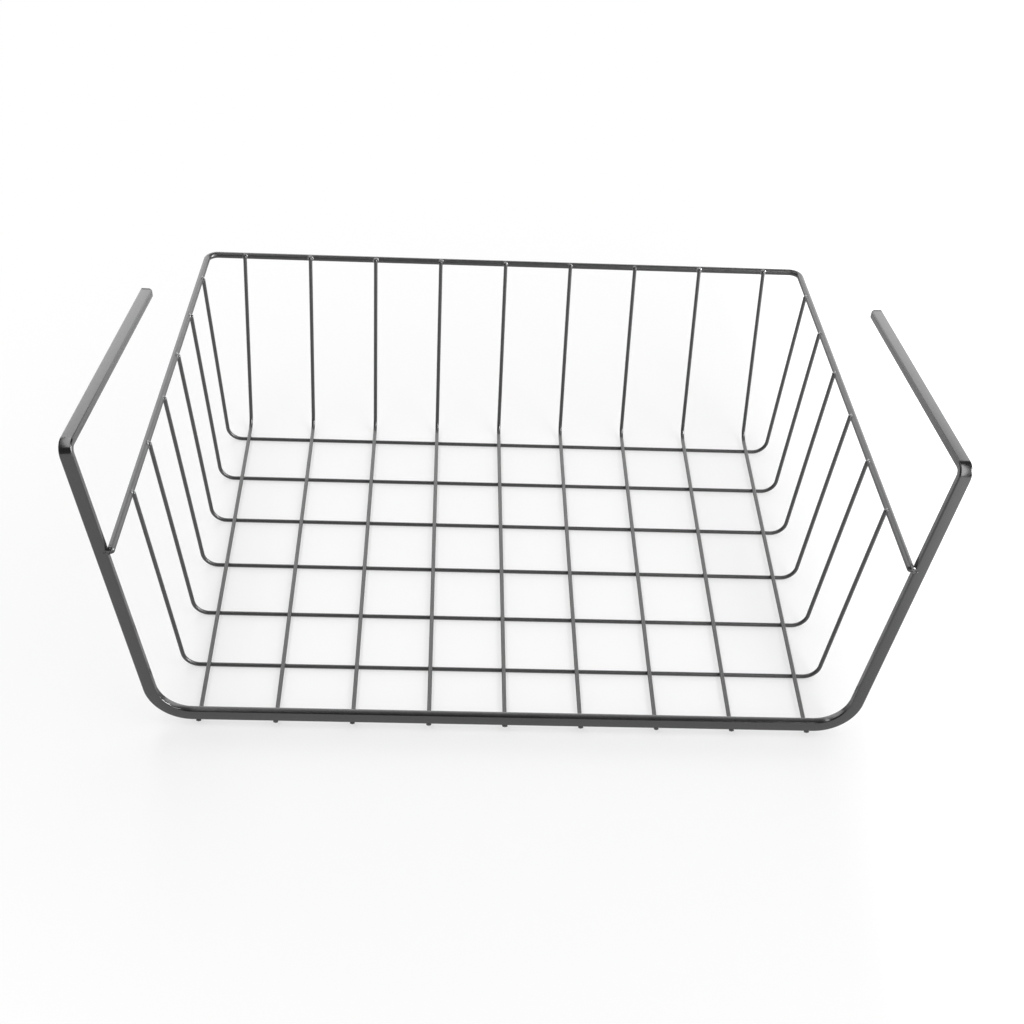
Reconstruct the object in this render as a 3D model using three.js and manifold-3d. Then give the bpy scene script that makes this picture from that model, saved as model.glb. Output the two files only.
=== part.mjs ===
// Under-shelf wire basket: a rigid weldment of one bent flat bar, one bent rim rod and a grid of bent wires.
// Millimetres, +Z up, with the open front and its hanger hoop facing -Y. The basket stands on its cross wires,
// and the origin lies on that surface below the middle of the basket.

import * as THREE from 'three';
import { mergeVertices } from 'three/addons/utils/BufferGeometryUtils.js';
import Module from 'manifold-3d';

// Stock that the basket is bent from
const WIRE_DIAMETER = 2.1;
const RIM_DIAMETER = 3.5;
const BAR_WIDTH = 6;
const BAR_THICKNESS = 4;
const BAR_EDGE_RADIUS = 0.8;

// Clearance between slanting pieces where a weld joins them
const WELD_GAP = 0.3;

// Floor grid: the longitudinal wires run front to rear on top of the cross wires
const LONG_WIRE_COUNT = 9;
const LONG_WIRE_PITCH = 37.5;
const SIDE_CELL = 12;
const SIDE_BEND_RADIUS = 8.5;
const CROSS_WIRE_COUNT = 6;
const CROSS_WIRE_PITCH = 39.5;
const FRONT_CELL = 41;
const REAR_CELL = 12.5;
const REAR_BEND_RADIUS = 7;

// Rim rod: height of its axis, how far it stands out from the floor at the rear, and its two bends
const RIM_HEIGHT = 110;
const RIM_REAR_FLARE = 16.25;
const RIM_REAR_SIDE_FLARE = 9;
const RIM_BEND_RADIUS = 6;
const RIM_END_SETBACK = 0.4;
const WIRE_END_RISE = 1.2;

// Hanger hoop: its bottom run, slanting sides and the two level arms that lie on the shelf
const HOOP_SIDE_MARGIN = 7.5;
const HOOP_FLARE = 27.3;
const HOOP_CORNER_RADIUS = 20;
const ARM_HEIGHT = 166;
const ARM_BEND_RADIUS = 4.5;
const ARM_LENGTH = 132;
const ARM_TOE_IN = THREE.MathUtils.degToRad(7);
const ARM_END_RADIUS = 2;

// Facets
const ROUND_SIDES = 12;
const BAR_EDGE_STEPS = 3;
const WIRE_BEND_STEPS = 8;
const FRAME_BEND_STEPS = 12;

// Heights of the layers, from the standing surface up
const CROSS_AXIS_HEIGHT = WIRE_DIAMETER / 2;
const LONG_AXIS_HEIGHT = WIRE_DIAMETER * 1.5;
const HOOP_RUN_HEIGHT = WIRE_DIAMETER * 2 + BAR_WIDTH / 2;

// Places from front to rear, with the whole depth centred on the origin
const FLOOR_DEPTH = FRONT_CELL + CROSS_WIRE_PITCH * (CROSS_WIRE_COUNT - 1) + REAR_CELL;
const OVERALL_DEPTH = BAR_THICKNESS / 2 + FLOOR_DEPTH + RIM_REAR_FLARE + RIM_DIAMETER / 2;
const FRONT_FACE_Y = -OVERALL_DEPTH / 2;
const HOOP_Y = FRONT_FACE_Y + BAR_THICKNESS / 2;
const REAR_FOOT_Y = HOOP_Y + FLOOR_DEPTH;
const RIM_REAR_Y = REAR_FOOT_Y + RIM_REAR_FLARE;

// Half widths, from the middle plane to the axis of each piece
const FLOOR_HALF = LONG_WIRE_PITCH * (LONG_WIRE_COUNT - 1) / 2 + SIDE_CELL;
const HOOP_BOTTOM_HALF = FLOOR_HALF + HOOP_SIDE_MARGIN;
const HOOP_TOP_HALF = HOOP_BOTTOM_HALF + HOOP_FLARE;
const HOOP_SLANT = Math.atan2(HOOP_FLARE, ARM_HEIGHT - HOOP_RUN_HEIGHT);
const HOOP_HALF_AT_RIM = HOOP_BOTTOM_HALF + (RIM_HEIGHT - HOOP_RUN_HEIGHT) * Math.tan(HOOP_SLANT);
const RIM_FRONT_OFFSET = (BAR_WIDTH + RIM_DIAMETER) / 2 + WELD_GAP;
const RIM_FRONT_HALF = HOOP_HALF_AT_RIM - RIM_FRONT_OFFSET / Math.cos(HOOP_SLANT);
const RIM_REAR_HALF = FLOOR_HALF + RIM_REAR_SIDE_FLARE;

const FRONT = new THREE.Vector3(0, -1, 0);
const UP = new THREE.Vector3(0, 0, 1);
const ACROSS = new THREE.Vector3(1, 0, 0);

const wasm = await Module();
wasm.setup();

function directionBetween(from, to) {
  return to.clone().sub(from).normalize();
}

// The centreline of a bent rod or bar: straight runs between corners, each corner rounded to its bend radius.
// Rings fall where a bend starts and ends and at even angles inside it, and the section never twists.
class BentCentreline extends THREE.Curve {
  constructor(corners, bendRadii, bendSteps, startNormal) {
    super();
    this.points = [];
    this.tangents = [];
    this.normals = [];
    this.addRing(corners[0], directionBetween(corners[0], corners[1]), startNormal.clone());
    bendRadii.forEach((radius, index) => {
      this.addBend(corners[index], corners[index + 1], corners[index + 2], radius, bendSteps);
    });
    this.addRing(corners.at(-1), this.tangents.at(-1), this.normals.at(-1));
  }

  addRing(point, tangent, normal) {
    this.points.push(point);
    this.tangents.push(tangent);
    this.normals.push(normal);
  }

  addBend(before, corner, after, radius, bendSteps) {
    const arriving = directionBetween(before, corner);
    const leaving = directionBetween(corner, after);
    const axis = arriving.clone().cross(leaving).normalize();
    const turn = arriving.angleTo(leaving);
    const setback = radius * Math.tan(turn / 2);
    const start = corner.clone().addScaledVector(arriving, -setback);
    const centre = start.clone().addScaledVector(axis.clone().cross(arriving), radius);
    const startSpoke = start.clone().sub(centre);
    const startNormal = this.normals.at(-1);
    for (let step = 0; step <= bendSteps; step += 1) {
      const angle = turn * step / bendSteps;
      const point = startSpoke.clone().applyAxisAngle(axis, angle).add(centre);
      const tangent = arriving.clone().applyAxisAngle(axis, angle);
      const normal = startNormal.clone().applyAxisAngle(axis, angle);
      this.addRing(point, tangent, normal);
    }
  }

  getSpacedPoints() {
    return this.points;
  }

  computeFrenetFrames() {
    const binormals = this.tangents.map((tangent, index) => tangent.clone().cross(this.normals[index]));
    return { tangents: this.tangents, normals: this.normals, binormals };
  }
}

function sweep(section, centreline) {
  return new THREE.ExtrudeGeometry(section, {
    steps: centreline.points.length - 1,
    extrudePath: centreline,
    curveSegments: BAR_EDGE_STEPS,
  });
}

// A round section with flats at its true radius, so that crossing wires meet flat to flat
function roundSection(diameter) {
  const step = 2 * Math.PI / ROUND_SIDES;
  const cornerRadius = diameter / 2 / Math.cos(step / 2);
  const corners = Array.from({ length: ROUND_SIDES }, (_, index) => {
    const angle = (index + 0.5) * step;
    return new THREE.Vector2(cornerRadius * Math.cos(angle), cornerRadius * Math.sin(angle));
  });
  return new THREE.Shape(corners);
}

// The flat bar's section: thickness along the first axis, width along the second, rolled edges
function barSection() {
  const x = BAR_THICKNESS / 2 - BAR_EDGE_RADIUS;
  const y = BAR_WIDTH / 2 - BAR_EDGE_RADIUS;
  const section = new THREE.Shape();
  section.absarc(x, y, BAR_EDGE_RADIUS, 0, Math.PI / 2);
  section.absarc(-x, y, BAR_EDGE_RADIUS, Math.PI / 2, Math.PI);
  section.absarc(-x, -y, BAR_EDGE_RADIUS, Math.PI, Math.PI * 1.5);
  section.absarc(x, -y, BAR_EDGE_RADIUS, Math.PI * 1.5, Math.PI * 2);
  return section;
}

function toSolid(geometry) {
  const bare = geometry.clone();
  bare.deleteAttribute('normal');
  bare.deleteAttribute('uv');
  const merged = mergeVertices(bare);
  return new wasm.Manifold(new wasm.Mesh({
    numProp: 3,
    vertProperties: merged.attributes.position.array,
    triVerts: merged.index.array,
  }));
}

function toGeometry(solid) {
  const mesh = solid.getMesh();
  const geometry = new THREE.BufferGeometry();
  geometry.setAttribute('position', new THREE.BufferAttribute(mesh.vertProperties, 3));
  geometry.setIndex(new THREE.BufferAttribute(mesh.triVerts, 1));
  geometry.computeVertexNormals();
  return geometry;
}

function paintedSteel(color) {
  return new THREE.MeshStandardMaterial({ color, roughness: 0.42, metalness: 0.25 });
}

function namedMesh(name, geometry, color) {
  const mesh = new THREE.Mesh(geometry, paintedSteel(color));
  mesh.name = name;
  return mesh;
}

// The waste outside a rounded corner: a square block less the quarter round that stays on the bar
function cornerWaste() {
  const reach = ARM_END_RADIUS;
  const outline = new THREE.Shape();
  outline.absarc(-reach, -reach, reach, 0, Math.PI / 2);
  outline.lineTo(-reach, reach);
  outline.lineTo(reach, reach);
  outline.lineTo(reach, -reach);
  const depth = BAR_THICKNESS * 2;
  return new THREE.ExtrudeGeometry(outline, { depth, bevelEnabled: false, curveSegments: 5 })
    .translate(0, 0, -depth / 2);
}

// The inner corner of an arm's end, rounded after the bar was sheared square
function roundedArmEnd(solid, centreline, ring, outward) {
  const along = centreline.tangents[ring].clone().multiplyScalar(outward);
  const inward = centreline.tangents[ring].clone().cross(centreline.normals[ring]);
  if (inward.x * centreline.points[ring].x > 0) {
    inward.negate();
  }
  const through = along.clone().cross(inward);
  const corner = centreline.points[ring].clone().addScaledVector(inward, BAR_WIDTH / 2);
  const placement = new THREE.Matrix4().makeBasis(along, inward, through).setPosition(corner);
  return solid.subtract(toSolid(cornerWaste().applyMatrix4(placement)));
}

// One flat bar from arm end to arm end: back along the left arm, down, across the front, up and back again
function hangerHoop() {
  const armReach = new THREE.Vector3(-Math.sin(ARM_TOE_IN), Math.cos(ARM_TOE_IN), 0).multiplyScalar(ARM_LENGTH);
  const rightTop = new THREE.Vector3(HOOP_TOP_HALF, HOOP_Y, ARM_HEIGHT);
  const rightEnd = rightTop.clone().add(armReach);
  const rightBottom = new THREE.Vector3(HOOP_BOTTOM_HALF, HOOP_Y, HOOP_RUN_HEIGHT);
  const mirror = new THREE.Vector3(-1, 1, 1);
  const leftSide = [rightEnd, rightTop, rightBottom].map((corner) => corner.clone().multiply(mirror));
  const corners = [...leftSide, rightBottom, rightTop, rightEnd];
  const bendRadii = [ARM_BEND_RADIUS, HOOP_CORNER_RADIUS, HOOP_CORNER_RADIUS, ARM_BEND_RADIUS];
  const down = directionBetween(corners[1], corners[2]);
  const forward = directionBetween(corners[0], corners[1]);
  const unbend = new THREE.Quaternion().setFromUnitVectors(down, forward);
  const armFace = FRONT.clone().applyQuaternion(unbend);
  const centreline = new BentCentreline(corners, bendRadii, FRAME_BEND_STEPS, armFace);
  const lastRing = centreline.points.length - 1;
  let solid = toSolid(sweep(barSection(), centreline));
  solid = roundedArmEnd(solid, centreline, 0, -1);
  solid = roundedArmEnd(solid, centreline, lastRing, 1);
  return namedMesh('hanger_hoop', toGeometry(solid), 0x4b4b4d);
}

// Half width of the rim's side run, which draws in from the hoop to the rear corner
function rimHalfAt(y) {
  return THREE.MathUtils.mapLinear(y, HOOP_Y, RIM_REAR_Y, RIM_FRONT_HALF, RIM_REAR_HALF);
}

// One rod round the two sides and the rear, with both ends lapped on the inside of the hoop
function rimRod() {
  const endY = FRONT_FACE_Y + RIM_END_SETBACK;
  const corners = [
    new THREE.Vector3(-rimHalfAt(endY), endY, RIM_HEIGHT),
    new THREE.Vector3(-RIM_REAR_HALF, RIM_REAR_Y, RIM_HEIGHT),
    new THREE.Vector3(RIM_REAR_HALF, RIM_REAR_Y, RIM_HEIGHT),
    new THREE.Vector3(rimHalfAt(endY), endY, RIM_HEIGHT),
  ];
  const centreline = new BentCentreline(corners, [RIM_BEND_RADIUS, RIM_BEND_RADIUS], FRAME_BEND_STEPS, UP);
  return namedMesh('rim_rod', sweep(roundSection(RIM_DIAMETER), centreline), 0x48484a);
}

// Slope of a wall wire that rises from its foot and passes the rim's axis at weld distance on the inside
function wallSlope(outToRim, upToRim) {
  const spacing = (RIM_DIAMETER + WIRE_DIAMETER) / 2 + WELD_GAP;
  const lean = Math.atan2(outToRim, upToRim) - Math.asin(spacing / Math.hypot(outToRim, upToRim));
  return Math.tan(lean);
}

// A cross wire, in its own plane: up one side, over the floor's underside and up the other side
function crossWire(name, y) {
  const rise = RIM_HEIGHT + WIRE_END_RISE - CROSS_AXIS_HEIGHT;
  const slope = wallSlope(rimHalfAt(y) - FLOOR_HALF, RIM_HEIGHT - CROSS_AXIS_HEIGHT);
  const topHalf = FLOOR_HALF + rise * slope;
  const corners = [
    new THREE.Vector3(-topHalf, 0, rise),
    new THREE.Vector3(-FLOOR_HALF, 0, 0),
    new THREE.Vector3(FLOOR_HALF, 0, 0),
    new THREE.Vector3(topHalf, 0, rise),
  ];
  const centreline = new BentCentreline(corners, [SIDE_BEND_RADIUS, SIDE_BEND_RADIUS], WIRE_BEND_STEPS, FRONT);
  const mesh = namedMesh(name, sweep(roundSection(WIRE_DIAMETER), centreline), 0x454547);
  mesh.position.set(0, y, CROSS_AXIS_HEIGHT);
  return mesh;
}

// A longitudinal wire, in its own plane: from under the hoop over the cross wires and up the rear wall
function longWire(name, x) {
  const rise = RIM_HEIGHT + WIRE_END_RISE - LONG_AXIS_HEIGHT;
  const slope = wallSlope(RIM_REAR_Y - REAR_FOOT_Y, RIM_HEIGHT - LONG_AXIS_HEIGHT);
  const corners = [
    new THREE.Vector3(0, FRONT_FACE_Y, 0),
    new THREE.Vector3(0, REAR_FOOT_Y, 0),
    new THREE.Vector3(0, REAR_FOOT_Y + rise * slope, rise),
  ];
  const centreline = new BentCentreline(corners, [REAR_BEND_RADIUS], WIRE_BEND_STEPS, ACROSS);
  const mesh = namedMesh(name, sweep(roundSection(WIRE_DIAMETER), centreline), 0x454547);
  mesh.position.set(x, 0, LONG_AXIS_HEIGHT);
  return mesh;
}

function wireGrid() {
  const grid = new THREE.Group();
  for (let index = 0; index < CROSS_WIRE_COUNT; index += 1) {
    const y = HOOP_Y + FRONT_CELL + index * CROSS_WIRE_PITCH;
    grid.add(crossWire(`cross_wire_${index + 1}`, y));
  }
  for (let index = 0; index < LONG_WIRE_COUNT; index += 1) {
    const x = (index - (LONG_WIRE_COUNT - 1) / 2) * LONG_WIRE_PITCH;
    grid.add(longWire(`long_wire_${index + 1}`, x));
  }
  return grid;
}

const basket = new THREE.Group();
basket.add(hangerHoop());
basket.add(rimRod());
basket.add(wireGrid());

export default basket;
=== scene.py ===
# Under-shelf wire basket in satin black paint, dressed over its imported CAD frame.
# Metres, +Z up, open front and hanger hoop towards -Y, standing on its cross wires at z = 0.

import math

import bmesh
import bpy
from mathutils import Matrix, Quaternion, Vector


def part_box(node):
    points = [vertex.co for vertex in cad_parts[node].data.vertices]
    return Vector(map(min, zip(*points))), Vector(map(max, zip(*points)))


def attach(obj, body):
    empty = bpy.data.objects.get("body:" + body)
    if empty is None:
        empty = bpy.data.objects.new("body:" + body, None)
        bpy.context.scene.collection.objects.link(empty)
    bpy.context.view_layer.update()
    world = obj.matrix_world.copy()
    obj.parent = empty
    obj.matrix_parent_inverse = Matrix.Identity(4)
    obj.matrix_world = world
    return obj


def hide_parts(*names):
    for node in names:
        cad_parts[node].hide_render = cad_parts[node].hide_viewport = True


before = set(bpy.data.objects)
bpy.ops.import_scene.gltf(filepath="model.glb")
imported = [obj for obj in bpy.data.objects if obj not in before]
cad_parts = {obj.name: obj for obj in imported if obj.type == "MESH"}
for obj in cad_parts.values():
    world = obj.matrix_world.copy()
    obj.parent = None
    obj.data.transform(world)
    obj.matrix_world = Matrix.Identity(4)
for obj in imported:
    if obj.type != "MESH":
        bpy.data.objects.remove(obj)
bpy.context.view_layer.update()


# Cross wires
# Six drawn steel wires, 2.1 mm thick, lie across the bottom of the basket and carry everything else.
# Each is bent up at both sides in one piece and leans out to the rim, where its two ends are spot welded.

cross_wires = [f"cross_wire_{number}" for number in range(1, 7)]
front_wire_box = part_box(cross_wires[0])
wire_diameter = front_wire_box[1].y - front_wire_box[0].y
cross_height = front_wire_box[0].z + wire_diameter / 2
floor_half_width = 0.162
side_bend_radius = 0.0085

# The rim that the wire ends lean to draws in from the hoop's middle plane to the rear
rim_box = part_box("rim_rod")
rim_diameter = rim_box[1].z - rim_box[0].z
rim_height = (rim_box[0].z + rim_box[1].z) / 2
bar_thickness = 0.004
hoop_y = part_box("hanger_hoop")[0].y + bar_thickness / 2
rim_rear_y = rim_box[1].y - rim_diameter / 2
rim_front_half = 0.18205
rim_rear_half = 0.171
wire_end_rise = 0.0006
weld_sink = 0.0010


def rim_half_at(y):
    share = (y - hoop_y) / (rim_rear_y - hoop_y)
    return rim_front_half + share * (rim_rear_half - rim_front_half)


def wall_lean(out_to_rim, up_to_rim):
    spacing = (rim_diameter + wire_diameter) / 2 - weld_sink
    return math.atan2(out_to_rim, up_to_rim) - math.asin(spacing / math.hypot(out_to_rim, up_to_rim))


def side_lean_at(y):
    return wall_lean(rim_half_at(y) - floor_half_width, rim_height - cross_height)


def cross_wire_corners(y):
    top = rim_height + wire_end_rise
    top_half = floor_half_width + (top - cross_height) * math.tan(side_lean_at(y))
    return [
        Vector((-top_half, y, top)),
        Vector((-floor_half_width, y, cross_height)),
        Vector((floor_half_width, y, cross_height)),
        Vector((top_half, y, top)),
    ]


# How a sheared end narrows: share of the full thickness at each distance from the end
sheared_end = {0.0: 0.78, 0.00025: 1.0, 0.0006: 1.0}


def centrelines(name, runs, first_end, last_end):
    points = []
    edges = []
    tapers = []
    bends = []
    for corners in runs:
        leaving = (corners[1] - corners[0]).normalized()
        arriving = (corners[-2] - corners[-1]).normalized()
        run = [corners[0] + leaving * distance for distance in first_end]
        run += corners[1:-1]
        run += [corners[-1] + arriving * distance for distance in reversed(last_end)]
        start = len(points)
        points += run
        edges += [(start + step, start + step + 1) for step in range(len(run) - 1)]
        tapers += [*first_end.values(), *[1.0] * (len(corners) - 2), *reversed(last_end.values())]
        bends += [*[0] * len(first_end), *[1] * (len(corners) - 2), *[0] * len(last_end)]
    mesh = bpy.data.meshes.new(name)
    mesh.from_pydata(points, edges, [])
    mesh.attributes.new("end_taper", "FLOAT", "POINT").data.foreach_set("value", tapers)
    mesh.attributes.new("bend", "INT", "POINT").data.foreach_set("value", bends)
    piece = bpy.data.objects.new(name, mesh)
    bpy.context.collection.objects.link(piece)
    return piece


def new_tree(name, inputs):
    tree = bpy.data.node_groups.new(name, "GeometryNodeTree")
    for label, kind in inputs.items():
        tree.interface.new_socket(label, in_out="INPUT", socket_type="NodeSocket" + kind)
    tree.interface.new_socket("Piece", in_out="OUTPUT", socket_type="NodeSocketGeometry")
    return tree


def put(tree, value, socket):
    if isinstance(value, bpy.types.NodeSocket):
        tree.links.new(value, socket)
    else:
        socket.default_value = value


def add(tree, kind, settings=None, **links):
    node = tree.nodes.new(kind)
    for label, value in (settings or {}).items():
        setattr(node, label, value)
    for label, value in links.items():
        put(tree, value, next(s for s in node.inputs if s.enabled and s.name == label.replace("_", " ")))
    return node


def figure(tree, operation, first, second=0.0):
    node = add(tree, "ShaderNodeMath", {"operation": operation})
    put(tree, first, node.inputs[0])
    put(tree, second, node.inputs[1])
    return node.outputs[0]


def vectors(tree, operation, first, second):
    node = add(tree, "ShaderNodeVectorMath", {"operation": operation})
    put(tree, first, node.inputs[0])
    put(tree, second, node.inputs["Scale" if operation == "SCALE" else 1])
    return node.outputs["Value" if operation == "DOT_PRODUCT" else "Vector"]


def finish_tree(tree, geometry, paint):
    real = add(tree, "GeometryNodeRealizeInstances", Geometry=geometry)
    painted = add(tree, "GeometryNodeSetMaterial", Geometry=real.outputs["Geometry"], Material=paint)
    add(tree, "NodeGroupOutput", Piece=painted.outputs["Geometry"])


def bent_wire_tree():
    tree = new_tree("bent_wire", {
        "Centrelines": "Geometry",
        "Wire Diameter": "Float",
        "Bend Radius": "Float",
        "Bend Steps": "Int",
        "Sides": "Int",
        "Paint": "Material",
    })
    given = tree.nodes.new("NodeGroupInput").outputs
    line = add(tree, "GeometryNodeMeshToCurve", Mesh=given["Centrelines"])
    bend = add(tree, "GeometryNodeInputNamedAttribute", {"data_type": "INT"}, Name="bend")
    bent = add(
        tree, "GeometryNodeFilletCurve", {"mode": "POLY"},
        Curve=line.outputs["Curve"], Radius=given["Bend Radius"],
        Count=figure(tree, "MULTIPLY", given["Bend Steps"], bend.outputs["Attribute"]),
    )
    taper = add(tree, "GeometryNodeInputNamedAttribute", {"data_type": "FLOAT"}, Name="end_taper")
    section = add(
        tree, "GeometryNodeCurvePrimitiveCircle",
        Radius=figure(tree, "MULTIPLY", given["Wire Diameter"], 0.5), Resolution=given["Sides"],
    )
    drawn = add(
        tree, "GeometryNodeCurveToMesh",
        Curve=bent.outputs["Curve"], Profile_Curve=section.outputs["Curve"],
        Scale=taper.outputs["Attribute"], Fill_Caps=True,
    )
    smooth = add(tree, "GeometryNodeSetShadeSmooth", Geometry=drawn.outputs["Mesh"])
    finish_tree(tree, smooth.outputs["Geometry"], given["Paint"])
    return tree


def form(piece, tree, sizes):
    modifier = piece.modifiers.new(tree.name, "NODES")
    modifier.node_group = tree
    for socket in tree.interface.items_tree:
        if socket.in_out == "INPUT" and socket.name in sizes:
            modifier[socket.identifier] = sizes[socket.name]
    graph = bpy.context.evaluated_depsgraph_get()
    formed = bpy.data.meshes.new_from_object(piece.evaluated_get(graph), depsgraph=graph)
    piece.modifiers.remove(modifier)
    piece.data = formed
    return piece


def satin_black_paint(name, dark, light, gloss, peel_scale, peel_depth):
    paint = bpy.data.materials.new(name)
    paint.use_nodes = True
    tree = paint.node_tree
    coat = tree.nodes["Principled BSDF"]
    coat.inputs["Specular IOR Level"].default_value = 1.0
    place = tree.nodes.new("ShaderNodeTexCoord").outputs["Object"]
    cloud = add(tree, "ShaderNodeTexNoise", Vector=place, Scale=35.0, Detail=3.0, Roughness=0.6)
    tone = add(tree, "ShaderNodeValToRGB", Fac=cloud.outputs["Fac"])
    tone.color_ramp.elements[0].position = 0.3
    tone.color_ramp.elements[0].color = (*dark, 1)
    tone.color_ramp.elements[1].position = 0.7
    tone.color_ramp.elements[1].color = (*light, 1)
    tree.links.new(tone.outputs["Color"], coat.inputs["Base Color"])
    patch = add(tree, "ShaderNodeTexNoise", Vector=place, Scale=180.0, Detail=2.0)
    shine = add(tree, "ShaderNodeMapRange", Value=patch.outputs["Fac"], To_Min=gloss[0], To_Max=gloss[1])
    tree.links.new(shine.outputs["Result"], coat.inputs["Roughness"])
    peel = add(tree, "ShaderNodeTexNoise", Vector=place, Scale=peel_scale, Detail=2.0)
    bump = add(tree, "ShaderNodeBump", Strength=0.1, Distance=peel_depth, Height=peel.outputs["Fac"])
    tree.links.new(bump.outputs["Normal"], coat.inputs["Normal"])
    return paint


wire_paint = satin_black_paint(
    "satin_black_on_wire",
    dark=(0.011, 0.011, 0.0114), light=(0.016, 0.016, 0.0165),
    gloss=(0.34, 0.44), peel_scale=1100.0, peel_depth=0.00002,
)
bent_wire = bent_wire_tree()
cross_wire_places = [(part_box(name)[0].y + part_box(name)[1].y) / 2 for name in cross_wires]
cross_runs = [cross_wire_corners(y) for y in cross_wire_places]
cross_lines = centrelines("cross_wires", cross_runs, sheared_end, sheared_end)
cross_piece = form(cross_lines, bent_wire, {
    "Wire Diameter": wire_diameter,
    "Bend Radius": side_bend_radius,
    "Bend Steps": 14,
    "Sides": 20,
    "Paint": wire_paint,
})
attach(cross_piece, "root")
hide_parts(*cross_wires)


# Longitudinal wires
# Nine more wires of the same stock lie on top of the cross wires, from under the hoop to the rear.
# There each turns up in one bend and leans back a little, inside the rear run of the rim.

long_wires = [f"long_wire_{number}" for number in range(1, 10)]
long_height = cross_height + wire_diameter
wire_front_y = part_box(long_wires[0])[0].y
rear_wall_slope = 0.01625
rear_foot_y = rim_rear_y - rear_wall_slope
rear_bend_radius = 0.007
rear_lean = wall_lean(rim_rear_y - rear_foot_y, rim_height - long_height)

# The front end is squeezed under the hoop, which narrows it and sets it up a little
squeezed_end = {0.0: 0.45, 0.0004: 0.58, 0.0022: 0.90, 0.0032: 1.0, 0.0037: 1.0}
front_set_up = 0.00055
front_set_length = 0.0045


def long_wire_corners(x):
    top = rim_height + wire_end_rise
    top_y = rear_foot_y + (top - long_height) * math.tan(rear_lean)
    return [
        Vector((x, wire_front_y, long_height + front_set_up)),
        Vector((x, wire_front_y + front_set_length, long_height)),
        Vector((x, rear_foot_y, long_height)),
        Vector((x, top_y, top)),
    ]


long_wire_places = [(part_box(name)[0].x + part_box(name)[1].x) / 2 for name in long_wires]
long_runs = [long_wire_corners(x) for x in long_wire_places]
long_lines = centrelines("long_wires", long_runs, squeezed_end, sheared_end)
long_piece = form(long_lines, bent_wire, {
    "Wire Diameter": wire_diameter,
    "Bend Radius": rear_bend_radius,
    "Bend Steps": 14,
    "Sides": 20,
    "Paint": wire_paint,
})
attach(long_piece, "root")
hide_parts(*long_wires)


# Spot welds of the floor grid
# At each of the 54 crossings the two wires are pressed together hot, and a little steel is squeezed out
# between them. Under the paint it shows as a small swelling round the contact.


def weld_points(name, places, presses):
    mesh = bpy.data.meshes.new(name)
    mesh.from_pydata(places, [], [])
    flat = [value for press in presses for value in press]
    mesh.attributes.new("press", "FLOAT_VECTOR", "POINT").data.foreach_set("vector", flat)
    piece = bpy.data.objects.new(name, mesh)
    bpy.context.collection.objects.link(piece)
    return piece


def weld_tree():
    tree = new_tree("spot_weld", {
        "Welds": "Geometry",
        "Spread": "Float",
        "Thickness": "Float",
        "Unevenness": "Float",
        "Seed": "Int",
        "Paint": "Material",
    })
    given = tree.nodes.new("NodeGroupInput").outputs
    points = add(tree, "GeometryNodeMeshToPoints", Mesh=given["Welds"])
    drop = add(tree, "GeometryNodeMeshIcoSphere", Radius=1.0, Subdivisions=2)
    press = add(tree, "GeometryNodeInputNamedAttribute", {"data_type": "FLOAT_VECTOR"}, Name="press")
    facing = add(tree, "FunctionNodeAlignRotationToVector", {"axis": "Z"}, Vector=press.outputs["Attribute"])
    turn = add(
        tree, "FunctionNodeRandomValue", {"data_type": "FLOAT"}, Min=0.0, Max=math.tau, Seed=given["Seed"],
    )
    spin = add(tree, "FunctionNodeAxisAngleToRotation", Axis=(0, 0, 1), Angle=turn.outputs[1])
    turned = add(
        tree, "FunctionNodeRotateRotation", {"rotation_space": "LOCAL"},
        Rotation=facing.outputs["Rotation"], Rotate_By=spin.outputs["Rotation"],
    )
    size = add(tree, "ShaderNodeCombineXYZ", X=given["Spread"], Y=given["Spread"], Z=given["Thickness"])
    vary = add(
        tree, "FunctionNodeRandomValue", {"data_type": "FLOAT_VECTOR"},
        Min=(0.85, 0.85, 0.9), Max=(1.15, 1.15, 1.1), Seed=given["Seed"],
    )
    drops = add(
        tree, "GeometryNodeInstanceOnPoints", Points=points.outputs["Points"], Instance=drop.outputs["Mesh"],
        Rotation=turned.outputs["Rotation"],
        Scale=vectors(tree, "MULTIPLY", size.outputs["Vector"], vary.outputs[0]),
    )
    solid = add(tree, "GeometryNodeRealizeInstances", Geometry=drops.outputs["Instances"])
    lump = add(tree, "ShaderNodeTexNoise", {"normalize": False}, Scale=900.0, Detail=1.0)
    rise = figure(tree, "MULTIPLY", lump.outputs["Fac"], given["Unevenness"])
    normal = tree.nodes.new("GeometryNodeInputNormal").outputs["Normal"]
    uneven = add(
        tree, "GeometryNodeSetPosition",
        Geometry=solid.outputs["Geometry"], Offset=vectors(tree, "SCALE", normal, rise),
    )
    smooth = add(tree, "GeometryNodeSetShadeSmooth", Geometry=uneven.outputs["Geometry"])
    finish_tree(tree, smooth.outputs["Geometry"], given["Paint"])
    return tree


weld_paint = satin_black_paint(
    "satin_black_on_welds",
    dark=(0.012, 0.012, 0.0125), light=(0.022, 0.022, 0.023),
    gloss=(0.10, 0.20), peel_scale=900.0, peel_depth=0.00005,
)
spot_weld = weld_tree()
crossing_height = cross_height + wire_diameter / 2
crossings = [Vector((x, y, crossing_height)) for y in cross_wire_places for x in long_wire_places]
floor_welds = form(weld_points("floor_welds", crossings, [(0, 0, 1)] * len(crossings)), spot_weld, {
    "Spread": 0.00125,
    "Thickness": 0.00075,
    "Unevenness": 0.0002,
    "Seed": 11,
    "Paint": weld_paint,
})
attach(floor_welds, "root")


# Rim rod
# One round rod, 3.5 mm thick, runs back along the left side, across the rear and forward along the right.
# It has two bends and ties the tops of all the wall wires together.

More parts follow.
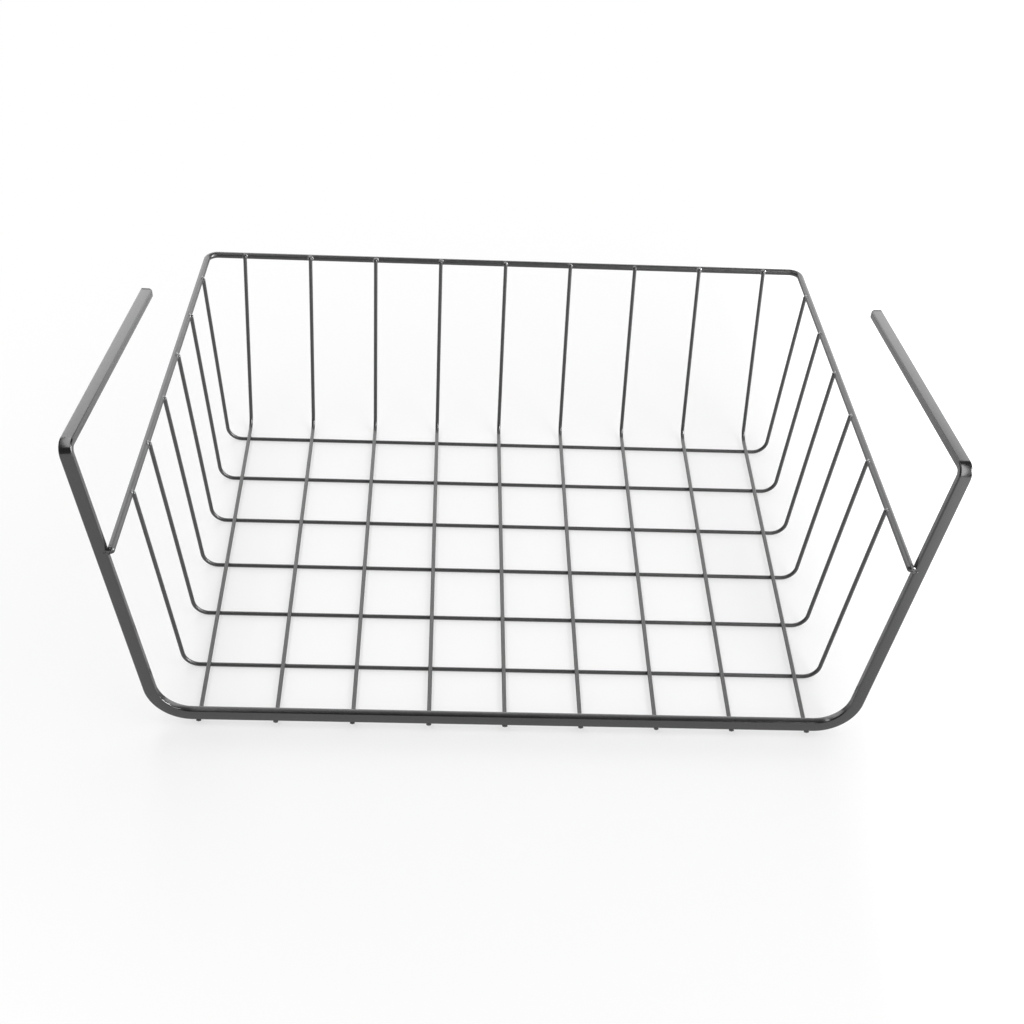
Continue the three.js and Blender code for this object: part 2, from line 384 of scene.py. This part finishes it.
rim_end_y = rim_box[0].y
rim_bend_radius = 0.006
rim_corners = [
    Vector((-rim_half_at(rim_end_y), rim_end_y, rim_height)),
    Vector((-rim_rear_half, rim_rear_y, rim_height)),
    Vector((rim_rear_half, rim_rear_y, rim_height)),
    Vector((rim_half_at(rim_end_y), rim_end_y, rim_height)),
]
rim_paint = satin_black_paint(
    "satin_black_on_rod",
    dark=(0.011, 0.011, 0.0114), light=(0.016, 0.016, 0.0165),
    gloss=(0.34, 0.44), peel_scale=900.0, peel_depth=0.00002,
)
rim_line = centrelines("rim", [rim_corners], sheared_end, sheared_end)
rim_piece = form(rim_line, bent_wire, {
    "Wire Diameter": rim_diameter,
    "Bend Radius": rim_bend_radius,
    "Bend Steps": 20,
    "Sides": 28,
    "Paint": rim_paint,
})
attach(rim_piece, "root")
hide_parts("rim_rod")


# Welds along the rim
# Each wall wire is pressed hot against the inner side of the rim, just below its sheared end, and sinks in.
# The squeezed-out steel stands round the contact as a lip, which the paint covers only thinly,
# and a small nub of it is left on the wire's end. The lips' light grey colour is partly that thinly
# painted steel and partly a painted highlight.

rim_contact = (rim_diameter - weld_sink) / 2
rim_weld_places = []
rim_weld_presses = []
for y in cross_wire_places:
    for side in (-1, 1):
        lean = side_lean_at(y)
        inward = Vector((-side * math.cos(lean), 0, math.sin(lean)))
        rim_axis = Vector((side * rim_half_at(y), y, rim_height))
        rim_weld_places.append(rim_axis + inward * rim_contact)
        rim_weld_presses.append(inward)
for x in long_wire_places:
    inward = Vector((0, -math.cos(rear_lean), math.sin(rear_lean)))
    rim_axis = Vector((x, rim_rear_y, rim_height))
    rim_weld_places.append(rim_axis + inward * rim_contact)
    rim_weld_presses.append(inward)
# Light grey lip colour: partly thinly painted steel, partly a painted highlight
lip_paint_and_painted_highlight = satin_black_paint(
    "thinly_painted_weld_lips_and_painted_highlight",
    dark=(0.09, 0.09, 0.092), light=(0.27, 0.27, 0.275),
    gloss=(0.18, 0.30), peel_scale=900.0, peel_depth=0.00005,
)
rim_welds = form(weld_points("rim_welds", rim_weld_places, rim_weld_presses), spot_weld, {
    "Spread": 0.0019,
    "Thickness": 0.0009,
    "Unevenness": 0.00025,
    "Seed": 23,
    "Paint": lip_paint_and_painted_highlight,
})
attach(rim_welds, "root")

wire_ends = [corners[0] for corners in cross_runs]
wire_ends += [corners[-1] for corners in cross_runs]
wire_ends += [corners[-1] for corners in long_runs]
end_nubs = form(weld_points("wire_end_nubs", wire_ends, [(0, 0, 1)] * len(wire_ends)), spot_weld, {
    "Spread": 0.00105,
    "Thickness": 0.0007,
    "Unevenness": 0.0002,
    "Seed": 31,
    "Paint": weld_paint,
})
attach(end_nubs, "root")


# Hanger hoop
# One rolled flat bar, 6 by 4 mm with soft edges, makes the whole front: a bottom run with two wide bends,
# two slanting sides, and at the top two tight bends into the level arms that slide over the shelf.

bar_width = 0.006
bar_edge_radius = 0.0008
hoop_run_height = long_height + wire_diameter / 2 + bar_width / 2
hoop_past_floor = 0.0075
hoop_flare = 0.0273
hoop_bottom_half = floor_half_width + hoop_past_floor
hoop_top_half = hoop_bottom_half + hoop_flare
hoop_corner_radius = 0.020
hoop_bend_steps = 28
arm_height = 0.166
arm_bend_radius = 0.0045
arm_length = 0.132
arm_toe_in = math.radians(7)
arm_end_radius = 0.002
arm_sheared_end = {0.0: 0.9, 0.00015: 0.97}


def bent_bar(corners, bend_radii, bend_steps, first_normal, end_steps):
    rings = []
    normal = first_normal
    for index, radius in enumerate(bend_radii):
        before, corner, after = corners[index:index + 3]
        arriving = (corner - before).normalized()
        leaving = (after - corner).normalized()
        axis = arriving.cross(leaving).normalized()
        turn = arriving.angle(leaving)
        start = corner - arriving * radius * math.tan(turn / 2)
        centre = start + axis.cross(arriving) * radius
        for step in range(bend_steps + 1):
            spin = Quaternion(axis, turn * step / bend_steps)
            rings.append((centre + spin @ (start - centre), spin @ normal))
        normal = spin @ normal
    first_run = (corners[1] - corners[0]).normalized()
    last_run = (corners[-2] - corners[-1]).normalized()
    first_end = [(corners[0] + first_run * step, first_normal) for step in end_steps]
    last_end = [(corners[-1] + last_run * step, normal) for step in reversed(end_steps)]
    return [*first_end, *rings, *last_end]


def rolled_bar_tree():
    tree = new_tree("rolled_bar", {
        "Centreline": "Geometry",
        "Bar Width": "Float",
        "Bar Thickness": "Float",
        "Edge Radius": "Float",
        "Edge Steps": "Int",
        "End Corner Radius": "Float",
        "Edge Shade End Length": "Float",
        "Edge Shade From": "Float",
        "Edge Shade To": "Float",
        "Paint": "Material",
    })
    given = tree.nodes.new("NodeGroupInput").outputs
    line = add(tree, "GeometryNodeMeshToCurve", Mesh=given["Centreline"])
    face = add(tree, "GeometryNodeInputNamedAttribute", {"data_type": "FLOAT_VECTOR"}, Name="face")
    held = add(
        tree, "GeometryNodeSetCurveNormal", {"mode": "FREE"},
        Curve=line.outputs["Curve"], Normal=face.outputs["Attribute"],
    )
    gone = tree.nodes.new("GeometryNodeSplineParameter").outputs["Length"]
    whole = tree.nodes.new("GeometryNodeSplineLength").outputs["Length"]
    to_end = figure(tree, "MINIMUM", gone, figure(tree, "SUBTRACT", whole, gone))
    tangent = tree.nodes.new("GeometryNodeInputTangent").outputs["Tangent"]
    noted = tree.nodes.new("GeometryNodeCaptureAttribute")
    noted.capture_items.new("FLOAT", "To End")
    noted.capture_items.new("VECTOR", "Inward")
    noted.capture_items.new("VECTOR", "Facing")
    put(tree, held.outputs["Curve"], noted.inputs["Geometry"])
    put(tree, to_end, noted.inputs["To End"])
    put(tree, vectors(tree, "CROSS_PRODUCT", face.outputs["Attribute"], tangent), noted.inputs["Inward"])
    put(tree, face.outputs["Attribute"], noted.inputs["Facing"])

    square = add(
        tree, "GeometryNodeCurvePrimitiveQuadrilateral",
        Width=given["Bar Thickness"], Height=given["Bar Width"],
    )
    section = add(
        tree, "GeometryNodeFilletCurve", {"mode": "POLY"},
        Curve=square.outputs["Curve"], Radius=given["Edge Radius"], Count=given["Edge Steps"],
    )
    taper = add(tree, "GeometryNodeInputNamedAttribute", {"data_type": "FLOAT"}, Name="end_taper")
    rolled = add(
        tree, "GeometryNodeCurveToMesh",
        Curve=noted.outputs["Geometry"], Profile_Curve=section.outputs["Curve"],
        Scale=taper.outputs["Attribute"], Fill_Caps=True,
    )

    # Near an end the inner side draws in along a quarter round
    radius = given["End Corner Radius"]
    near = figure(tree, "MINIMUM", noted.outputs["To End"], radius)
    far = figure(tree, "SUBTRACT", figure(tree, "MULTIPLY", radius, 2.0), near)
    across = figure(tree, "SQRT", figure(tree, "MULTIPLY", near, far))
    draw_in = figure(tree, "SUBTRACT", radius, across)
    normal = tree.nodes.new("GeometryNodeInputNormal").outputs["Normal"]
    side = vectors(tree, "DOT_PRODUCT", normal, noted.outputs["Inward"])
    barely_inward = 0.05
    inner = figure(tree, "GREATER_THAN", side, barely_inward)
    shift = figure(tree, "MULTIPLY", figure(tree, "MULTIPLY", draw_in, inner), -1.0)
    push = vectors(tree, "SCALE", noted.outputs["Inward"], shift)

    # Upper rolled edges and sheared ends are made to reflect less, drawing dark lines: painted shade
    front = vectors(tree, "DOT_PRODUCT", normal, noted.outputs["Facing"])
    turned = figure(tree, "ABSOLUTE", figure(tree, "MULTIPLY", side, front))
    from_end = figure(tree, "DIVIDE", noted.outputs["To End"], given["Edge Shade End Length"])
    sheared = figure(tree, "SUBTRACT", 1.0, from_end)
    position = tree.nodes.new("GeometryNodeInputPosition").outputs["Position"]
    height = add(tree, "ShaderNodeSeparateXYZ", Vector=position)
    edge_shade_by_height = add(
        tree, "ShaderNodeMapRange", Value=height.outputs["Z"],
        From_Min=given["Edge Shade From"], From_Max=given["Edge Shade To"], To_Min=0.0, To_Max=0.5,
    )
    edge_shade = figure(tree, "MAXIMUM", figure(tree, "MULTIPLY", turned, edge_shade_by_height.outputs["Result"]), sheared)
    marked = add(
        tree, "GeometryNodeStoreNamedAttribute", {"data_type": "FLOAT", "domain": "POINT"},
        Geometry=rolled.outputs["Mesh"], Name="edge", Value=edge_shade,
    )
    rounded = add(tree, "GeometryNodeSetPosition", Geometry=marked.outputs["Geometry"], Offset=push)
    corners = tree.nodes.new("GeometryNodeInputMeshFaceNeighbors").outputs["Vertex Count"]
    flank = add(
        tree, "FunctionNodeCompare", {"data_type": "INT", "operation": "LESS_EQUAL"}, A=corners, B=4,
    )
    smooth = add(
        tree, "GeometryNodeSetShadeSmooth",
        Geometry=rounded.outputs["Geometry"], Shade_Smooth=flank.outputs["Result"],
    )
    finish_tree(tree, smooth.outputs["Geometry"], given["Paint"])
    return tree


right_top = Vector((hoop_top_half, hoop_y, arm_height))
right_bottom = Vector((hoop_bottom_half, hoop_y, hoop_run_height))
right_end = right_top + Vector((-math.sin(arm_toe_in), math.cos(arm_toe_in), 0)) * arm_length
mirror = Matrix.Diagonal((-1, 1, 1))
right_side = [right_bottom, right_top, right_end]
hoop_corners = [mirror @ corner for corner in reversed(right_side)] + right_side
hoop_bends = [arm_bend_radius, hoop_corner_radius, hoop_corner_radius, arm_bend_radius]
down_side = (hoop_corners[2] - hoop_corners[1]).normalized()
along_arm = (hoop_corners[1] - hoop_corners[0]).normalized()
arm_face = down_side.rotation_difference(along_arm) @ Vector((0, -1, 0))
end_steps = [*arm_sheared_end]
end_steps += [arm_end_radius * (1 - math.cos(math.radians(angle))) for angle in range(35, 91, 11)]
hoop_rings = bent_bar(hoop_corners, hoop_bends, hoop_bend_steps, arm_face, end_steps)

hoop_mesh = bpy.data.meshes.new("hoop")
hoop_steps = [(n, n + 1) for n in range(len(hoop_rings) - 1)]
hoop_mesh.from_pydata([point for point, normal in hoop_rings], hoop_steps, [])
hoop_faces = [value for point, normal in hoop_rings for value in normal]
full_rings = len(hoop_rings) - 2 * len(arm_sheared_end)
hoop_tapers = [*arm_sheared_end.values(), *[1.0] * full_rings, *reversed(arm_sheared_end.values())]
hoop_mesh.attributes.new("face", "FLOAT_VECTOR", "POINT").data.foreach_set("vector", hoop_faces)
hoop_mesh.attributes.new("end_taper", "FLOAT", "POINT").data.foreach_set("value", hoop_tapers)
hoop_line = bpy.data.objects.new("hoop", hoop_mesh)
bpy.context.collection.objects.link(hoop_line)
bar_paint = satin_black_paint(
    "satin_black_on_bar",
    dark=(0.011, 0.011, 0.0114), light=(0.016, 0.016, 0.0165),
    gloss=(0.17, 0.24), peel_scale=700.0, peel_depth=0.00002,
)
bar_tree = bar_paint.node_tree
bar_coat = bar_tree.nodes["Principled BSDF"]
# The bar reflects less where the edge mark is high: painted shade along its upper edges and ends
painted_edge_shade_mark = add(bar_tree, "ShaderNodeAttribute", {"attribute_name": "edge"})
painted_edge_shade_level = add(
    bar_tree, "ShaderNodeMapRange", Value=painted_edge_shade_mark.outputs["Fac"],
    From_Min=0.15, From_Max=0.5, To_Min=0.95, To_Max=0.2,
)
bar_tree.links.new(painted_edge_shade_level.outputs["Result"], bar_coat.inputs["Specular IOR Level"])
hoop_piece = form(hoop_line, rolled_bar_tree(), {
    "Bar Width": bar_width,
    "Bar Thickness": bar_thickness,
    "Edge Radius": bar_edge_radius,
    "Edge Steps": 7,
    "End Corner Radius": arm_end_radius,
    "Edge Shade End Length": 0.0023,
    "Edge Shade From": 0.012,
    "Edge Shade To": 0.040,
    "Paint": bar_paint,
})
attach(hoop_piece, "root")
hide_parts("hanger_hoop")


# Welds on the hoop
# The front ends of the nine longitudinal wires are spot welded to the underside of the hoop's bottom run.
# Both ends of the rim lie against the inner side of the hoop, and a weld run flush with its front face
# bridges each of them to the bar. A few beads of spatter are left round it under the paint.

under_hoop = long_height + wire_diameter / 2
front_face_y = hoop_y - bar_thickness / 2
squeezed_width = 0.0025
squeezed_height = 0.0012
squeezed_length = 0.0034
squeezed_back = 0.0018
squeezed_drop = 0.0004


def squeezed_end_tree():
    tree = new_tree("squeezed_end", {
        "Ends": "Geometry",
        "Width": "Float",
        "Height": "Float",
        "Length": "Float",
        "Seed": "Int",
        "Paint": "Material",
    })
    given = tree.nodes.new("NodeGroupInput").outputs
    points = add(tree, "GeometryNodeMeshToPoints", Mesh=given["Ends"])
    slug = add(tree, "GeometryNodeMeshCylinder", Vertices=24, Radius=0.5, Depth=1.0)
    size = add(tree, "ShaderNodeCombineXYZ", X=given["Width"], Y=given["Height"], Z=given["Length"])
    vary = add(
        tree, "FunctionNodeRandomValue", {"data_type": "FLOAT_VECTOR"},
        Min=(0.92, 0.88, 1.0), Max=(1.08, 1.12, 1.0), Seed=given["Seed"],
    )
    ends = add(
        tree, "GeometryNodeInstanceOnPoints", Points=points.outputs["Points"], Instance=slug.outputs["Mesh"],
        Rotation=(math.pi / 2, 0, 0),
        Scale=vectors(tree, "MULTIPLY", size.outputs["Vector"], vary.outputs[0]),
    )
    finish_tree(tree, ends.outputs["Instances"], given["Paint"])
    return tree


end_y = front_face_y + squeezed_back
end_height = under_hoop - squeezed_drop
end_places = [Vector((x, end_y, end_height)) for x in long_wire_places]
end_points = weld_points("squeezed_wire_ends", end_places, [(0, 0, 1)] * len(end_places))
squeezed_ends = form(end_points, squeezed_end_tree(), {
    "Width": squeezed_width,
    "Height": squeezed_height,
    "Length": squeezed_length,
    "Seed": 47,
    "Paint": wire_paint,
})
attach(squeezed_ends, "root")

hoop_slant = math.atan2(hoop_top_half - hoop_bottom_half, arm_height - hoop_run_height)
weld_onto_bar = 0.0012
weld_down_bar = 0.0022
weld_up_bar = 0.0012
weld_round_rod = rim_diameter * 0.46
weld_proud = 0.0001
weld_depth = 0.0012
weld_edge_radius = 0.0003

# Each bead's place from the middle of the rod's end: out over the bar, up the bar, and to the rear
spatter_spots = [(0.0034, -0.0008, 0), (0.0012, -0.0016, 0), (0.0002, 0.0016, 0.0022)]

web_mesh = bmesh.new()
spatter_places = []
for side in (-1, 1):
    outward = Vector((side * math.cos(hoop_slant), 0, -math.sin(hoop_slant)))
    up_bar = Vector((side * math.sin(hoop_slant), 0, math.cos(hoop_slant)))
    rod_end = Vector((side * rim_half_at(hoop_y), front_face_y, rim_height))
    on_bar = rim_diameter / 2 + weld_onto_bar
    web_front = [rod_end + outward * on_bar + up_bar * rise for rise in (-weld_down_bar, weld_up_bar)]
    for angle in range(-150, 151, 30):
        around = outward * math.cos(math.radians(angle)) + up_bar * math.sin(math.radians(angle))
        web_front.append(rod_end + around * weld_round_rod)
    web_corners = [point + Vector((0, back, 0)) for point in web_front for back in (-weld_proud, weld_depth)]
    hull = bmesh.ops.convex_hull(web_mesh, input=[web_mesh.verts.new(corner) for corner in web_corners])
    inside = [piece for piece in hull["geom_interior"] if isinstance(piece, bmesh.types.BMVert)]
    bmesh.ops.delete(web_mesh, geom=inside, context="VERTS")
    for out, up, back in spatter_spots:
        spatter_places.append(rod_end + outward * out + up_bar * up + Vector((0, back, 0)))
bmesh.ops.dissolve_limit(web_mesh, angle_limit=0.02, verts=web_mesh.verts, edges=web_mesh.edges)
bmesh.ops.bevel(
    web_mesh, geom=web_mesh.edges, offset=weld_edge_radius, segments=3, affect="EDGES", clamp_overlap=True,
)
rim_end_welds = bpy.data.objects.new("rim_end_welds", bpy.data.meshes.new("rim_end_welds"))
web_mesh.to_mesh(rim_end_welds.data)
web_mesh.free()
rim_end_welds.data.shade_smooth()
rim_end_welds.data.materials.append(bar_paint)
bpy.context.collection.objects.link(rim_end_welds)
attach(rim_end_welds, "root")

spatter = form(weld_points("weld_spatter", spatter_places, [(0, -1, 0)] * len(spatter_places)), spot_weld, {
    "Spread": 0.00036,
    "Thickness": 0.0003,
    "Unevenness": 0.00004,
    "Seed": 53,
    "Paint": weld_paint,
})
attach(spatter, "root")


# Studio
# A plain white floor that fades into a white surround and keeps the soft shadow, four softboxes,
# and the camera where the photograph was taken from.

floor_half = 8.0
floor_mesh = bpy.data.meshes.new("studio_floor")
floor_corners = [(x * floor_half, y * floor_half, 0) for x, y in ((-1, -1), (1, -1), (1, 1), (-1, 1))]
floor_mesh.from_pydata(floor_corners, [], [(0, 1, 2, 3)])
studio_floor = bpy.data.objects.new("studio_floor", floor_mesh)
bpy.context.collection.objects.link(studio_floor)


def seen_rays(tree):
    path = tree.nodes.new("ShaderNodeLightPath").outputs
    mirrored = figure(tree, "MAXIMUM", path["Is Glossy Ray"], path["Is Transmission Ray"])
    return mirrored, path["Is Camera Ray"]


# To the camera and in the paint the floor shows as white, brighter to the right of the basket.
# Close to the basket half of what shows is the lit paper, which has the shadow on it.
floor_finish = bpy.data.materials.new("white_floor")
floor_finish.use_nodes = True
floor_tree = floor_finish.node_tree
floor_tree.nodes.remove(floor_tree.nodes["Principled BSDF"])
paper = add(floor_tree, "ShaderNodeBsdfDiffuse", Color=(0.86, 0.86, 0.86, 1))
on_floor = floor_tree.nodes.new("ShaderNodeTexCoord").outputs["Object"]
across = add(floor_tree, "ShaderNodeSeparateXYZ", Vector=on_floor)
glow = add(
    floor_tree, "ShaderNodeMapRange", {"interpolation_type": "SMOOTHSTEP"}, Value=across.outputs["X"],
    From_Min=0.15, From_Max=0.30, To_Min=1.0, To_Max=1.95,
)
white = add(floor_tree, "ShaderNodeEmission", Color=(1, 1, 1, 1), Strength=glow.outputs["Result"])
away = add(floor_tree, "ShaderNodeVectorMath", {"operation": "LENGTH"}, Vector=on_floor)
fade = add(
    floor_tree, "ShaderNodeMapRange", {"interpolation_type": "SMOOTHSTEP"}, Value=away.outputs["Value"],
    From_Min=0.17, From_Max=0.45, To_Min=0.5, To_Max=1.0,
)
seen = figure(floor_tree, "MAXIMUM", *seen_rays(floor_tree))
blend = floor_tree.nodes.new("ShaderNodeMixShader")
put(floor_tree, figure(floor_tree, "MULTIPLY", seen, fade.outputs["Result"]), blend.inputs[0])
put(floor_tree, paper.outputs[0], blend.inputs[1])
put(floor_tree, white.outputs[0], blend.inputs[2])
put(floor_tree, blend.outputs[0], floor_tree.nodes["Material Output"].inputs["Surface"])
floor_mesh.materials.append(floor_finish)

# The surround is white to the camera. In the paint it is white at the rear and dim elsewhere
surround = bpy.data.worlds.new("white_surround")
surround.use_nodes = True
surround_tree = surround.node_tree
sky = surround_tree.nodes["Background"]
sky.inputs["Color"].default_value = (1, 1, 1, 1)
looking = surround_tree.nodes.new("ShaderNodeTexCoord").outputs["Generated"]
facing = add(surround_tree, "ShaderNodeSeparateXYZ", Vector=looking)
backdrop = add(
    surround_tree, "ShaderNodeMapRange", {"interpolation_type": "SMOOTHSTEP"}, Value=facing.outputs["Y"],
    From_Min=0.62, From_Max=0.85, To_Min=0.06, To_Max=1.0,
)
fill_level = 0.35
mirrored, direct = seen_rays(surround_tree)
reflected = figure(surround_tree, "MULTIPLY", backdrop.outputs["Result"], mirrored)
ambient = figure(surround_tree, "MULTIPLY", figure(surround_tree, "SUBTRACT", 1.0, mirrored), fill_level)
around = figure(surround_tree, "ADD", reflected, ambient)
put(surround_tree, figure(surround_tree, "MAXIMUM", around, direct), sky.inputs["Strength"])
bpy.context.scene.world = surround


def softbox(name, place, aim, width, height, brightness):
    lamp = bpy.data.lights.new(name, "AREA")
    lamp.shape = "RECTANGLE"
    lamp.size = width
    lamp.size_y = height
    lamp.energy = brightness * math.pi * width * height
    stand = bpy.data.objects.new(name, lamp)
    stand.location = place
    stand.rotation_mode = "QUATERNION"
    stand.rotation_quaternion = (Vector(aim) - Vector(place)).to_track_quat("-Z", "Y")
    stand.visible_camera = False
    bpy.context.collection.objects.link(stand)
    return stand


softbox(
    "overhead_strip", place=(-0.56, 0.08, 1.35), aim=(-0.47, 0.08, 0),
    width=2.35, height=0.30, brightness=4.0,
)
softbox(
    "right_softbox", place=(0.68, -0.87, 1.10), aim=(0.68, -0.13, 0.16),
    width=0.28, height=2.60, brightness=6.0,
)
softbox(
    "rear_softbox", place=(0, 1.60, 0.81), aim=(0, 0, 0.81),
    width=4.0, height=1.36, brightness=2.0,
)

# The low lamp at the right only makes glints on the bends and leaves the floor's light as it is
low_softbox = softbox(
    "low_softbox", place=(1.40, -0.40, 0.62), aim=(-0.16, -0.13, 0.02),
    width=0.40, height=0.85, brightness=45.0,
)
low_softbox.visible_diffuse = False

picture_width = 1024
focal_length_in_pixels = 1700
camera = bpy.data.cameras.new("camera")
camera.sensor_width = 36
camera.lens = focal_length_in_pixels * camera.sensor_width / picture_width
camera.clip_start = 0.01
tripod = bpy.data.objects.new("camera", camera)
bpy.context.collection.objects.link(tripod)
stand_point = Vector((-0.034580, -0.730176, 0.602795))
pan = math.radians(3.082)
tilt = math.radians(37.971)
roll = math.radians(3.295)
ahead = Vector((math.sin(pan) * math.cos(tilt), math.cos(pan) * math.cos(tilt), -math.sin(tilt)))
level_right = Vector((math.cos(pan), -math.sin(pan), 0))
level_up = level_right.cross(ahead)
camera_right = level_right * math.cos(roll) + level_up * math.sin(roll)
camera_up = level_up * math.cos(roll) - level_right * math.sin(roll)
tripod.matrix_world = Matrix((
    (camera_right.x, camera_up.x, -ahead.x, stand_point.x),
    (camera_right.y, camera_up.y, -ahead.y, stand_point.y),
    (camera_right.z, camera_up.z, -ahead.z, stand_point.z),
    (0, 0, 0, 1),
))
bpy.context.scene.camera = tripod
bpy.context.scene.view_settings.view_transform = "Standard"
